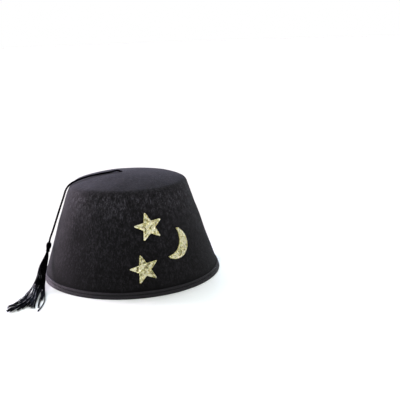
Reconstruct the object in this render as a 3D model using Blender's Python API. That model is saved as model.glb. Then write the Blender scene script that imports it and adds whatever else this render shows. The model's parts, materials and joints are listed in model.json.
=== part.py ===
"""Fez hat: a moulded felt crown with a bound edge, three appliques and a tassel on a cord.

Metres, +Z up. The origin is the centre of the rim, on the surface that the hat stands on.
The front, which carries the appliques, faces -Y. The tassel hangs on the wearer's right.
"""

import math

import bmesh
import bpy
import numpy as np
from mathutils import Matrix, Vector

# Driving dimensions
HEAD_ROUND = 0.580  # measure round the inside of the rim
WALL_SLANT = math.radians(18.1)  # lean of the wall from the vertical
CORNER_HEIGHT = 0.1002  # where the wall and the top would meet if the edge were sharp
DOME_RADIUS = 0.230  # of the low domed top
EDGE_ROUND = 0.009  # outer radius where the wall turns into the top
FELT = 0.0020  # thickness of the felt
TAPE = 0.0006  # thickness of the binding tape
BINDING_HEIGHT = 0.0068  # of the tape on the wall, outside and inside
GAP = 0.0003  # clearance between neighbouring pieces
APPLIQUE = 0.0012  # thickness of a glitter applique
CORD = 0.0020  # cord diameter
TASSEL_SIDE = math.radians(-111.0)  # bearing of the tassel, from the front toward +X

SEGMENTS = 72  # round the hat
ARC_STEPS = 5  # in the rounded upper edge
WALL_RINGS = (0.0600, 0.0820, 0.0895)  # heights of further rings on the wall
DOME_PARTS = (0.13, 0.30, 0.52, 0.76)  # further rings on the top, from its edge to the middle

# Where the felt gives way: the tassel side of the top sags a little, and the cord presses a
# soft dent into the edge. Places are set out from the tassel side, as the cord below.
HOLLOWS = (
    # out, across, up, depth, reach over the edge, reach round the hat
    (0.0560, -0.0100, 0.1010, 0.0010, 0.022, 0.045),
    (0.0585, 0.0016, 0.1008, 0.0012, 0.009, 0.015),
)

# Appliques: bearing of the middle from the front, distance of the middle up the wall, turn
STAR_TIP, STAR_NOTCH, TIP_ROUND = 0.0160, 0.0072, 0.0011
STARS = {
    "star_upper": {"bearing": -6.9, "up_wall": 0.0695, "turn": 28.0},
    "star_lower": {"bearing": -13.3, "up_wall": 0.0281, "turn": 31.0},
}
MOON = {
    "bearing": 15.5,
    "up_wall": 0.0452,
    "outer": (-0.0055, 0.0041, 0.0168),  # centre across and up, radius
    "inner": (-0.0158, 0.0107, 0.0181),
    "blunt": 0.93,  # how far the arcs run toward the sharp horns
}

# What follows is set out from the tassel side of the hat: distance out from the axis,
# distance across toward the front, height

# Middle line of the cord
CORD_ROUTE = (
    (-0.0001, -0.0011, 0.10444),  # at the stop knot inside the crown
    (0.0029, -0.0011, 0.10650),  # in the slanted hole
    (0.0076, -0.0011, 0.10975),
    (0.0115, -0.0010, 0.11060),
    (0.0170, -0.0008, 0.10965),
    (0.0244, -0.0006, 0.10880),
    (0.0330, -0.0002, 0.10755),
    (0.0416, 0.0003, 0.10610),
    (0.0503, 0.0008, 0.10380),
    (0.0569, 0.0013, 0.10145),
    (0.0622, 0.0020, 0.09840),  # over the edge
    (0.0658, 0.0029, 0.09430),
    (0.0683, 0.0040, 0.08850),
    (0.0725, 0.0057, 0.07780),
    (0.0783, 0.0090, 0.06280),
    (0.0842, 0.0125, 0.04780),
    (0.0861, 0.0137, 0.04310),
    (0.0869, 0.0144, 0.04010),  # at the tassel's head
)
CORD_STEP = 0.0045  # between two points of the tube

# Stop knot and tassel head, turned about the cord's line: distance along it, radius
KNOT_PROFILE = ((0.0, 0.0015), (0.0009, 0.0026), (0.0036, 0.0026), (0.0045, 0.0016))
HEAD_PROFILE = (
    (0.0, 0.0012),
    (0.0006, 0.0018),
    (0.0022, 0.0024),
    (0.0048, 0.0025),
    (0.0068, 0.0019),
    (0.0080, 0.0016),
    (0.0096, 0.0020),
    (0.0108, 0.0014),
)

# The falling skirt, below the head
SKIRT = (
    # middle out, across and up, half width, half thickness
    (0.0912, 0.0210, 0.0251, 0.0010, 0.0008),
    (0.0939, 0.0273, 0.0192, 0.0021, 0.0017),
    (0.0952, 0.0354, 0.0142, 0.0026, 0.0021),
    (0.0957, 0.0440, 0.0096, 0.0036, 0.0022),
    (0.0966, 0.0515, 0.0055, 0.0052, 0.0016),
)
# Locks: place across the skirt and through it, in halves of it; where each lies on the
# surface first, halfway and last, out and across; height over the surface; thickest radius
LOCKS = (
    # across, through, first, halfway, last, over, radius
    (1.0, 0.2, (0.1032, 0.0555), (0.1096, 0.0810), (0.1212, 0.0990), 0.0, 0.0014),
    (0.8, -0.5, (0.1022, 0.0590), (0.1094, 0.0860), (0.1204, 0.1062), 0.0, 0.0015),
    (0.6, 0.7, (0.1011, 0.0610), (0.1076, 0.0870), (0.1166, 0.1090), 0.0012, 0.0013),
    (0.4, -0.2, (0.1002, 0.0640), (0.1062, 0.0890), (0.1132, 0.1068), 0.0, 0.0015),
    (0.25, 0.8, (0.0992, 0.0630), (0.1044, 0.0860), (0.1087, 0.1012), 0.0010, 0.0014),
    (0.1, -0.8, (0.0979, 0.0660), (0.1018, 0.0880), (0.1048, 0.1030), 0.0, 0.0015),
    (0.0, 0.0, (0.0972, 0.0620), (0.1000, 0.0780), (0.1022, 0.0900), 0.0, 0.0021),
    (-0.1, 0.4, (0.0965, 0.0650), (0.0992, 0.0870), (0.1012, 0.1034), 0.0008, 0.0014),
    (-0.3, -0.3, (0.0950, 0.0640), (0.0966, 0.0870), (0.0974, 0.1052), 0.0, 0.0014),
    (-0.55, 0.6, (0.0936, 0.0640), (0.0944, 0.0870), (0.0949, 0.1045), 0.0008, 0.0012),
    (-0.8, 0.0, (0.0920, 0.0640), (0.0930, 0.0850), (0.0923, 0.1040), 0.0, 0.0013),
    (-1.0, 0.6, (0.0904, 0.0660), (0.0946, 0.0850), (0.0975, 0.0998), 0.0012, 0.0011),
    (-1.0, -0.4, (0.0893, 0.0640), (0.0879, 0.0885), (0.0915, 0.1150), 0.0, 0.0008),
)
LOCK_SIDES, LOCK_STEPS = 6, 14


# Materials


def finish(name, colour, roughness, metallic=0.0, sheen=0.0):
    material = bpy.data.materials.new(name)
    material.use_nodes = True
    shader = material.node_tree.nodes["Principled BSDF"]
    shader.inputs["Base Color"].default_value = (*colour, 1.0)
    shader.inputs["Roughness"].default_value = roughness
    shader.inputs["Metallic"].default_value = metallic
    shader.inputs["Sheen Weight"].default_value = sheen
    material.diffuse_color = (*colour, 1.0)
    return material


# Building


def add_mesh(name, mesh_data, material):
    """Makes an object of this bmesh, with its faces pointing out and its points merged."""
    bmesh.ops.remove_doubles(mesh_data, verts=mesh_data.verts, dist=1e-6)
    bmesh.ops.recalc_face_normals(mesh_data, faces=mesh_data.faces)
    mesh = bpy.data.meshes.new(name)
    mesh_data.to_mesh(mesh)
    mesh_data.free()
    mesh.materials.append(material)
    mesh.shade_smooth()
    mesh.set_sharp_from_angle(angle=math.radians(38))
    obj = bpy.data.objects.new(name, mesh)
    bpy.context.scene.collection.objects.link(obj)
    return obj


def hide(obj):
    obj.hide_render = True
    obj.display_type = "WIRE"
    return obj


def turned(profile, segments, closed=False):
    """The profile, pairs of radius and height, spun once about Z."""
    spun = bmesh.new()
    points = [spun.verts.new((radius, 0.0, height)) for radius, height in profile]
    pairs = list(zip(points, points[1:]))
    if closed:
        pairs.append((points[-1], points[0]))
    edges = [spun.edges.new(pair) for pair in pairs]
    bmesh.ops.spin(
        spun,
        geom=points + edges,
        axis=(0, 0, 1),
        cent=(0, 0, 0),
        steps=segments,
        angle=2 * math.pi,
        use_merge=True,
    )
    bmesh.ops.remove_doubles(spun, verts=spun.verts, dist=1e-6)
    return spun


def along(start, direction):
    """The frame whose Z runs from start in this direction."""
    turn = Vector(direction).to_track_quat("Z", "Y")
    return Matrix.Translation(start) @ turn.to_matrix().to_4x4()


def beside(out, across, up):
    """A place given from the tassel side of the hat."""
    sine, cosine = math.sin(TASSEL_SIDE), math.cos(TASSEL_SIDE)
    return out * sine + across * cosine, -out * cosine + across * sine, up


def smooth_line(points, step):
    """Evenly spaced points on the natural cubic spline through these points."""
    points = np.array(points)
    knots = np.concatenate([[0], np.cumsum(np.linalg.norm(np.diff(points, axis=0), axis=1))])
    span = np.diff(knots)
    system = np.eye(len(points))
    right = np.zeros_like(points)
    for i in range(1, len(points) - 1):
        system[i, i - 1 : i + 2] = span[i - 1], 2 * (span[i - 1] + span[i]), span[i]
        right[i] = 6 * (
            (points[i + 1] - points[i]) / span[i] - (points[i] - points[i - 1]) / span[i - 1]
        )
    bend = np.linalg.solve(system, right)

    def at(place):
        i = np.clip(np.searchsorted(knots, place, "right") - 1, 0, len(span) - 1)
        width = span[i][:, None]
        before = (place - knots[i])[:, None]
        after = width - before
        return (
            (bend[i] * after**3 + bend[i + 1] * before**3) / (6 * width)
            + (points[i] / width - bend[i] * width / 6) * after
            + (points[i + 1] / width - bend[i + 1] * width / 6) * before
        )

    fine = at(np.linspace(0, knots[-1], 2000))
    length = np.concatenate([[0], np.cumsum(np.linalg.norm(np.diff(fine, axis=0), axis=1))])
    wanted = np.linspace(0, length[-1], max(2, round(length[-1] / step) + 1))
    return np.stack([np.interp(wanted, length, fine[:, k]) for k in range(3)], axis=1)


# The felt crown

HEAD_RADIUS = HEAD_ROUND / (2 * math.pi)
UP_WALL = Vector((-math.sin(WALL_SLANT), math.cos(WALL_SLANT)))
OUT_OF_WALL = Vector((math.cos(WALL_SLANT), math.sin(WALL_SLANT)))
WALL_FOOT = HEAD_RADIUS + (TAPE + GAP + FELT) / math.cos(WALL_SLANT)  # outer face at z = 0
CORNER_RADIUS = WALL_FOOT - CORNER_HEIGHT * math.tan(WALL_SLANT)
DOME_MIDDLE = CORNER_HEIGHT - math.sqrt(DOME_RADIUS**2 - CORNER_RADIUS**2)
FELT_BOTTOM = TAPE + GAP


def wall_at(height, depth):
    """Distance from the axis to the wall, this far in from its outer face."""
    return WALL_FOOT - depth / math.cos(WALL_SLANT) - height * math.tan(WALL_SLANT)


def edge_middle():
    """The middle of the rounded edge, as distance from the axis and height."""
    inner = Vector((WALL_FOOT, 0)) - OUT_OF_WALL * EDGE_ROUND
    toward = inner - Vector((0, DOME_MIDDLE))
    along_wall = toward.dot(UP_WALL)
    reach = (DOME_RADIUS - EDGE_ROUND) ** 2 - toward.length_squared
    return inner + UP_WALL * (-along_wall + math.sqrt(along_wall**2 + reach))


def crown_profile(depth):
    """The crown's section from the rim to the middle of the top, this far in from outside."""
    middle = edge_middle()
    dome_turn = math.atan2(middle.y - DOME_MIDDLE, middle.x)
    turns = np.linspace(WALL_SLANT, dome_turn, ARC_STEPS + 1)
    arc = [
        (middle.x + (EDGE_ROUND - depth) * math.cos(t), middle.y + (EDGE_ROUND - depth) * math.sin(t))
        for t in turns
    ]
    dome = [
        ((DOME_RADIUS - depth) * math.cos(t), DOME_MIDDLE + (DOME_RADIUS - depth) * math.sin(t))
        for t in (dome_turn + (math.pi / 2 - dome_turn) * part for part in DOME_PARTS)
    ]
    top = [(0.0, DOME_MIDDLE + DOME_RADIUS - depth)]
    wall = [(wall_at(height, depth), height) for height in (FELT_BOTTOM, *WALL_RINGS)]
    return [*wall, *arc, *dome, *top]


def press_hollows(shell):
    """Moves the crown in and down where the felt gives way."""
    side = Vector(beside(0, 1, 0))
    inward = Vector(beside(-0.55, 0, -0.83)).normalized()
    moves = []
    for vert in shell.verts:
        move = 0.0
        for out, across, up, depth, over_edge, round_hat in HOLLOWS:
            away = vert.co - Vector(beside(out, across, up))
            sideways = away.dot(side)
            along_edge = (away - side * sideways).length
            fade = math.exp(-((along_edge / over_edge) ** 2) - (sideways / round_hat) ** 2)
            move += depth * fade
        moves.append(inward * move if move > 1e-5 else Vector())
    for vert, move in zip(shell.verts, moves):
        vert.co += move


def make_felt(material, line):
    shell = turned(crown_profile(0.0)[::-1] + crown_profile(FELT), SEGMENTS)
    press_hollows(shell)
    felt = add_mesh("felt_body", shell, material)
    # the slanted hole that the cord comes out of
    start, ahead = Vector(line[0]), Vector(line[1] - line[0])
    hole_radius = CORD / 2 + 0.00035
    bore = turned(((0, 0), (hole_radius, 0), (hole_radius, 0.0135), (0, 0.0135)), 14)
    cutter = hide(add_mesh("cord_hole_cutter", bore, material))
    cutter.matrix_world = along(start, ahead)
    cut = felt.modifiers.new("cord hole", "BOOLEAN")
    cut.operation, cut.object, cut.solver = "DIFFERENCE", cutter, "EXACT"
    return felt


def make_binding(material):
    outside, inside = -(GAP + TAPE), FELT + GAP + TAPE
    round_off = 0.0005
    foot_out, foot_in = wall_at(0, outside), wall_at(0, inside)
    section = [
        (wall_at(BINDING_HEIGHT, outside), BINDING_HEIGHT),
        (wall_at(round_off, outside), round_off),
        (wall_at(round_off * 0.3, outside) - round_off * 0.3, round_off * 0.3),
        (foot_out - round_off, 0.0),
        (foot_in + round_off, 0.0),
        (foot_in + round_off * 0.3, round_off * 0.3),
        (wall_at(round_off, inside), round_off),
        (wall_at(BINDING_HEIGHT, inside), BINDING_HEIGHT),
        (wall_at(BINDING_HEIGHT, FELT + GAP), BINDING_HEIGHT),
        (wall_at(TAPE, FELT + GAP), TAPE),
        (wall_at(TAPE, -GAP), TAPE),
        (wall_at(BINDING_HEIGHT, -GAP), BINDING_HEIGHT),
    ]
    return add_mesh("rim_binding", turned(section, SEGMENTS, closed=True), material)


# Appliques, cut flat and bent to the wall


def on_wall(bearing, up_wall, across, up, lift):
    """A place on the wall, measured across and up from a middle as on the flat cloth."""
    apex = WALL_FOOT / math.sin(WALL_SLANT)
    left = apex - up_wall - up
    slant = math.hypot(left, across)
    turn = math.radians(bearing) + math.atan2(across, left) / math.sin(WALL_SLANT)
    radius = slant * math.sin(WALL_SLANT) + lift * math.cos(WALL_SLANT)
    height = (apex - slant) * math.cos(WALL_SLANT) + lift * math.sin(WALL_SLANT)
    return radius * math.sin(turn), -radius * math.cos(turn), height


def applique(name, place, outline, hearts, material):
    """A bent plate. Each point of the outline shrinks toward its heart to give the inner rings."""
    under, edge, top = GAP, GAP + APPLIQUE * 0.65, GAP + APPLIQUE
    layers = ((1.0, under), (0.5, under), (0.0, under), (0.0, edge), (0.06, top), (0.5, top), (1.0, top))
    plate = bmesh.new()
    rings = []
    for shrink, lift in layers:
        ring = []
        for point, heart in zip(outline, hearts):
            across, up = (p + (h - p) * shrink for p, h in zip(point, heart))
            spot = on_wall(place["bearing"], place["up_wall"], across, up, lift)
            ring.append(plate.verts.new(spot))
        rings.append(ring)
    for low, high in zip(rings, rings[1:]):
        for i in range(len(outline)):
            j = (i + 1) % len(outline)
            plate.faces.new((low[i], low[j], high[j], high[i]))
    bmesh.ops.remove_doubles(plate, verts=plate.verts, dist=1e-6)
    bmesh.ops.triangulate(plate, faces=plate.faces)
    return add_mesh(name, plate, material)


def star_outline(turn):
    """Five rounded tips and five notches, with one more point along each side."""
    outline = []
    for k in range(5):
        tip = math.radians(turn + 72 * k)
        notches = (tip - math.radians(36), tip + math.radians(36))
        sharp = Vector((math.cos(tip), math.sin(tip))) * STAR_TIP
        before, after = (Vector((math.cos(n), math.sin(n))) * STAR_NOTCH for n in notches)
        length = (sharp - before).length
        outline += [
            before,
            before.lerp(sharp, 0.45),
            sharp.lerp(before, TIP_ROUND / length),
            sharp * (1 - 0.5 * TIP_ROUND / STAR_TIP),
            sharp.lerp(after, TIP_ROUND / length),
            sharp.lerp(after, 0.55),
        ]
    return [tuple(point) for point in outline]


def moon_outline():
    """Two arcs between the horns, and the line midway between them."""
    outer, inner = MOON["outer"], MOON["inner"]
    apart = Vector((inner[0] - outer[0], inner[1] - outer[1]))
    toward = math.atan2(apart.y, apart.x)

    def half_turn(radius, other):
        cosine = (apart.length_squared + radius**2 - other**2) / (2 * apart.length * radius)
        return math.acos(cosine)

    outer_half = half_turn(outer[2], inner[2])
    inner_half = half_turn(inner[2], outer[2])
    back, count = toward + math.pi, 14
    outside, inside = [], []
    for k in range(count + 1):
        part = -1 + 2 * k / count
        a = back + part * MOON["blunt"] * (math.pi - outer_half)
        b = back + part * MOON["blunt"] * inner_half
        outside.append((outer[0] + outer[2] * math.cos(a), outer[1] + outer[2] * math.sin(a)))
        inside.append((inner[0] + inner[2] * math.cos(b), inner[1] + inner[2] * math.sin(b)))
    middle = [tuple((p + q) / 2 for p, q in zip(*pair)) for pair in zip(outside, inside)]
    horns = []
    for end, before in ((0, 1), (-1, -2)):
        past = Vector(middle[end]) - Vector(middle[before])
        horns.append(tuple(Vector(middle[end]) + past.normalized() * 0.0006))
    outline = [horns[0], *outside, horns[1], *inside[::-1]]
    hearts = [middle[0], *middle, middle[-1], *middle[::-1]]
    return outline, hearts


# The cord and what is on it


def cord_line():
    return smooth_line([beside(*place) for place in CORD_ROUTE], CORD_STEP)


def make_cord(line, material):
    curve = bpy.data.curves.new("cord", "CURVE")
    curve.dimensions = "3D"
    curve.bevel_depth = CORD / 2
    curve.bevel_resolution = 2
    curve.use_fill_caps = True
    spline = curve.splines.new("POLY")
    spline.points.add(len(line) - 1)
    for point, place in zip(spline.points, line):
        point.co = (*place, 1.0)
    curve.materials.append(material)
    obj = bpy.data.objects.new("cord", curve)
    bpy.context.scene.collection.objects.link(obj)
    return obj


def turned_on(profile, end, direction, segments):
    """A solid turned about the cord's line, with its flat face a gap away from the cord's end."""
    outline = [(0.0, profile[0][0])]
    outline += [(radius, place) for place, radius in profile]
    outline += [(0.0, profile[-1][0])]
    solid = turned(outline, segments)
    direction = Vector(direction).normalized()
    bmesh.ops.transform(
        solid, matrix=along(Vector(end) + direction * GAP, direction), verts=solid.verts
    )
    return solid


def lock_mesh(path, radii):
    """A tapered strand bundle: a six-sided tube along the path, closed at both ends."""
    tube = bmesh.new()
    rings = []
    for i, place in enumerate(path):
        ahead = Vector(path[min(i + 1, len(path) - 1)] - path[max(i - 1, 0)])
        frame = along(Vector(place), ahead)
        turns = [2 * math.pi * (k + 0.25) / LOCK_SIDES for k in range(LOCK_SIDES)]
        ring = [frame @ Vector((radii[i] * math.cos(t), radii[i] * math.sin(t), 0)) for t in turns]
        rings.append([tube.verts.new(v) for v in ring])
    for low, high in zip(rings, rings[1:]):
        for k in range(LOCK_SIDES):
            j = (k + 1) % LOCK_SIDES
            tube.faces.new((low[k], low[j], high[j], high[k]))
    tube.faces.new(rings[0])
    tube.faces.new(rings[-1])
    return tube


def lock_path(head_end, direction, across, through, first, halfway, last, over, radius):
    """From inside the head, down in the skirt and along the surface to the tip."""
    points = [Vector(head_end) - Vector(direction).normalized() * 0.004]
    before = Vector(head_end)
    for *place, half_width, half_thickness in SKIRT:
        middle = Vector(beside(*place))
        ahead = (middle - before).normalized()
        side = ahead.cross((0, 0, 1)).normalized()
        over_it = side.cross(ahead)
        points.append(middle + side * across * half_width + over_it * through * half_thickness)
        before = middle
    rest = radius + GAP
    points.append(Vector(beside(*first, rest + over + 0.0008)))
    points.append(Vector(beside(*halfway, rest + over)))
    points.append(Vector(beside(*last, rest)))
    line = smooth_line([tuple(point) for point in points], 0.001)
    line = line[np.linspace(0, len(line) - 1, LOCK_STEPS).round().astype(int)]
    part = np.linspace(0, 1, LOCK_STEPS)
    radii = np.interp(part, (0, 0.12, 0.32, 0.8, 1), (0.45, 0.6, 1.0, 0.95, 0.5)) * radius
    line[:, 2] = np.maximum(line[:, 2], radii + GAP)
    return line, radii


def make_tassel(line, material):
    ahead = line[-1] - line[-2]
    head = turned_on(HEAD_PROFILE, line[-1], ahead, 12)
    tassel = add_mesh("tassel", head, material)
    unit = ahead / np.linalg.norm(ahead)
    head_end = line[-1] + unit * (GAP + HEAD_PROFILE[-1][0])
    locks = bpy.data.collections.new("tassel_locks")
    bpy.context.scene.collection.children.link(locks)
    for number, row in enumerate(LOCKS):
        path, radii = lock_path(head_end, ahead, *row)
        lock = hide(add_mesh(f"lock_{number + 1}", lock_mesh(path, radii), material))
        bpy.context.scene.collection.objects.unlink(lock)
        locks.objects.link(lock)
    fuse = tassel.modifiers.new("fused locks", "BOOLEAN")
    fuse.operation, fuse.operand_type, fuse.solver = "UNION", "COLLECTION", "EXACT"
    fuse.collection = locks
    return tassel


def main():
    for obj in list(bpy.data.objects):
        bpy.data.objects.remove(obj, do_unlink=True)

    black_felt = finish("black_felt", (0.030, 0.027, 0.033), 0.95, sheen=0.3)
    grey_tape = finish("binding_tape", (0.050, 0.050, 0.054), 0.75)
    gold = finish("gold_glitter", (0.70, 0.62, 0.30), 0.40, metallic=0.7)
    rayon = finish("black_rayon", (0.010, 0.010, 0.011), 0.45)

    line = cord_line()
    make_felt(black_felt, line)
    make_binding(grey_tape)
    for name, place in STARS.items():
        outline = star_outline(place["turn"])
        applique(name, place, outline, [(0.0, 0.0)] * len(outline), gold)
    applique("crescent_moon", MOON, *moon_outline(), gold)
    make_cord(line, rayon)
    knot = turned_on(KNOT_PROFILE, line[0], line[0] - line[1], 12)
    add_mesh("cord_stop_knot", knot, rayon)
    make_tassel(line, rayon)


main()
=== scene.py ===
import json
import math

import bpy
import numpy as np
from mathutils import Matrix, Vector

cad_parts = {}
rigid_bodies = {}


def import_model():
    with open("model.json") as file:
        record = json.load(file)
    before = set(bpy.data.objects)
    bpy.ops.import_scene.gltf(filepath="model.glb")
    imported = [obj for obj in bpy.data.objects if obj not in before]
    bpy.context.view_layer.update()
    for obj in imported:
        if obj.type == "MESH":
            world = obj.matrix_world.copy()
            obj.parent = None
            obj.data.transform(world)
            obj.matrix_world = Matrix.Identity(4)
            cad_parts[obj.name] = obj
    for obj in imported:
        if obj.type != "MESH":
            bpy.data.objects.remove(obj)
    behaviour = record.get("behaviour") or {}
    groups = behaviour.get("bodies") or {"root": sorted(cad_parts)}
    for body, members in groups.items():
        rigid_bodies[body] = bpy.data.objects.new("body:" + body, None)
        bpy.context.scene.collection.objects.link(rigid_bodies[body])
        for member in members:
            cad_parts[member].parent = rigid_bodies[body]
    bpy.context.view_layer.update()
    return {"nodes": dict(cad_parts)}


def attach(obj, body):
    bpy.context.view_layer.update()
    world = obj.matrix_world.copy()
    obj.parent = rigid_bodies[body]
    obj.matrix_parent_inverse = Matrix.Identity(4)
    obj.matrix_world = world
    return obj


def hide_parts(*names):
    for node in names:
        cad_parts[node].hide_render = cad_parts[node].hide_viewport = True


for startObject in list(bpy.data.objects):
    bpy.data.objects.remove(startObject)
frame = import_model()
scene = bpy.context.scene
print("frame loaded:", ", ".join(sorted(frame["nodes"])))

# The hat's main measures in metres, as its solids have them. The front faces -Y.
hat = {
    "headRound": 0.580,  # measure round the inside of the rim
    "slant": math.radians(18.1),  # lean of the wall from the vertical
    "cornerHeight": 0.1002,  # where wall and top would meet in a sharp edge
    "domeRadius": 0.230,
    "edgeRound": 0.009,  # radius of the rounded edge between wall and top
    "felt": 0.0020,  # thickness
    "tape": 0.0006,
    "gap": 0.0003,  # between one piece and the next, and under the strands on the floor
    "tasselSide": math.radians(-111.0),  # bearing from the front toward +X
}
wallFoot = hat["headRound"] / (2 * math.pi)
wallFoot += (hat["tape"] + hat["gap"] + hat["felt"]) / math.cos(hat["slant"])
cornerRadius = wallFoot - hat["cornerHeight"] * math.tan(hat["slant"])
domeMiddle = hat["cornerHeight"] - math.sqrt(hat["domeRadius"] ** 2 - cornerRadius**2)
feltBottom = hat["tape"] + hat["gap"]


def wallAt(height, depth):
    # distance from the axis to the wall, this far in from its outer face
    return wallFoot - depth / math.cos(hat["slant"]) - height * math.tan(hat["slant"])


def beside(out, across, up):
    # a place set out from the tassel side of the hat: out from the axis, across toward the front
    sine, cosine = math.sin(hat["tasselSide"]), math.cos(hat["tasselSide"])
    return np.array((out * sine + across * cosine, -out * cosine + across * sine, up))


# Shader maths

class Value:
    # a socket that takes part in sums

    def __init__(self, finish, socket):
        self.finish = finish
        self.socket = socket

    def sum(self, operation, first, second):
        return self.finish.node("ShaderNodeMath", {"operation": operation}, {0: first, 1: second})

    def __add__(self, other):
        return self.sum("ADD", self, other)

    def __sub__(self, other):
        return self.sum("SUBTRACT", self, other)

    def __rsub__(self, other):
        return self.sum("SUBTRACT", other, self)

    def __mul__(self, other):
        return self.sum("MULTIPLY", self, other)

    __radd__ = __add__
    __rmul__ = __mul__


class Nodes:
    # a node tree, and the few kinds of node that its finishes share

    def __init__(self, tree):
        self.nodes, self.links = tree.nodes, tree.links

    def node(self, kind, settings=None, inputs=None, out=0):
        made = self.nodes.new(kind)
        for key, value in (settings or {}).items():
            if key == "stops":
                stops = made.color_ramp.elements
                while len(stops) < len(value):
                    stops.new(1.0)
                for stop, (place, colour) in zip(stops, value):
                    stop.position = place
                    stop.color = (*colour, 1.0)
            else:
                setattr(made, key, value)
        for key, value in (inputs or {}).items():
            if isinstance(value, Value):
                self.links.new(value.socket, made.inputs[key])
            else:
                made.inputs[key].default_value = value
        return Value(self, made.outputs[out])

    def place(self, kind="Object"):
        return self.node("ShaderNodeTexCoord", out=kind)

    def product(self, first, second):
        # of two vectors or two colours
        return self.node("ShaderNodeVectorMath", {"operation": "MULTIPLY"}, {0: first, 1: second})

    def noise(self, place, size, detail=2.0, rough=0.5, swirl=0.0):
        # size is the width of one lump in metres
        inputs = {"Vector": place, "Scale": 1 / size, "Detail": detail, "Roughness": rough}
        return self.node("ShaderNodeTexNoise", {}, {**inputs, "Distortion": swirl})

    def cells(self, place, size, out="Distance"):
        return self.node("ShaderNodeTexVoronoi", {}, {"Vector": place, "Scale": 1 / size}, out)

    def limits(self, value, low, high, toLow=0.0, toHigh=1.0):
        inputs = {"Value": value, 1: low, 2: high, 3: toLow, 4: toHigh}
        return self.node("ShaderNodeMapRange", {"interpolation_type": "SMOOTHSTEP"}, inputs)

    def ramp(self, value, *stops):
        return self.node("ShaderNodeValToRGB", {"stops": stops}, {"Fac": value})

    def mix(self, share, first, second):
        settings = {"data_type": "RGBA"}
        colours = [c if isinstance(c, Value) else (*c, 1.0) for c in (first, second)]
        return self.node("ShaderNodeMix", settings, {0: share, 6: colours[0], 7: colours[1]}, 2)

    def sine(self, turns):
        # a wave from 0 to 1, once for each turn
        angle = turns * (2 * math.pi)
        return self.node("ShaderNodeMath", {"operation": "SINE"}, {0: angle}) * 0.5 + 0.5

    def split(self, vector):
        return [self.node("ShaderNodeSeparateXYZ", {}, {0: vector}, axis) for axis in "XYZ"]


class Finish(Nodes):
    # a material whose Principled shader takes fixed values by name

    def __init__(self, name, **fixed):
        self.material = bpy.data.materials.new(name)
        self.material.use_nodes = True
        super().__init__(self.material.node_tree)
        self.shader = self.nodes["Principled BSDF"]
        for key, value in fixed.items():
            self.shader.inputs[spaced(key)].default_value = value

    def feed(self, **values):
        for key, value in values.items():
            self.links.new(value.socket, self.shader.inputs[spaced(key)])

    def relief(self, height, depth, strength=1.0):
        inputs = {"Height": height, "Distance": depth, "Strength": strength}
        self.feed(normal=self.node("ShaderNodeBump", {}, inputs))


def spaced(key):
    # baseColor names the socket Base Color
    words = "".join(" " + letter if letter.isupper() else letter for letter in key)
    return (words[0].upper() + words[1:]).replace("Ior", "IOR")


# Mesh work

def lengthsAlong(path):
    # the distance along the path at each of its points
    return np.concatenate([[0], np.cumsum(np.linalg.norm(np.diff(path, axis=0), axis=1))])


def smoothLine(points, step):
    # evenly spaced points on the natural cubic spline through these points
    points = np.array(points)
    knots = lengthsAlong(points)
    span = np.diff(knots)
    system = np.eye(len(points))
    right = np.zeros_like(points)
    for i in range(1, len(points) - 1):
        system[i, i - 1 : i + 2] = span[i - 1], 2 * (span[i - 1] + span[i]), span[i]
        after, before = points[i + 1] - points[i], points[i] - points[i - 1]
        right[i] = 6 * (after / span[i] - before / span[i - 1])
    bend = np.linalg.solve(system, right)
    place = np.linspace(0, knots[-1], 2000)  # far finer than any step asked for
    i = np.clip(np.searchsorted(knots, place, "right") - 1, 0, len(span) - 1)
    width, before = span[i][:, None], (place - knots[i])[:, None]
    after = width - before
    fine = (bend[i] * after**3 + bend[i + 1] * before**3) / (6 * width)
    fine += (points[i] / width - bend[i] * width / 6) * after
    fine += (points[i + 1] / width - bend[i + 1] * width / 6) * before
    length = lengthsAlong(fine)
    wanted = np.linspace(0, length[-1], max(2, round(length[-1] / step) + 1))
    return np.stack([np.interp(wanted, length, fine[:, k]) for k in range(3)], axis=1)


def unit(vectors):
    return vectors / np.linalg.norm(vectors, axis=-1, keepdims=True)


def framesAlong(path):
    # directions ahead, to the side and over the path, turning as little as they can
    ahead = unit(np.gradient(path, axis=0))
    start = np.cross(ahead[0], (0.0, 0.0, 1.0))
    if np.linalg.norm(start) < 0.1:
        start = np.cross(ahead[0], (1.0, 0.0, 0.0))
    side = [unit(start)]
    for direction in ahead[1:]:
        side.append(unit(side[-1] - direction * side[-1].dot(direction)))
    side = np.array(side)
    return ahead, side, np.cross(ahead, side)


def roundAbout(side, over, sides):
    # directions out from the path, in a circle at each of its points
    turns = np.linspace(0, 2 * math.pi, sides, endpoint=False)[:, None]
    return np.cos(turns) * side[..., None, :] + np.sin(turns) * over[..., None, :]


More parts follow.
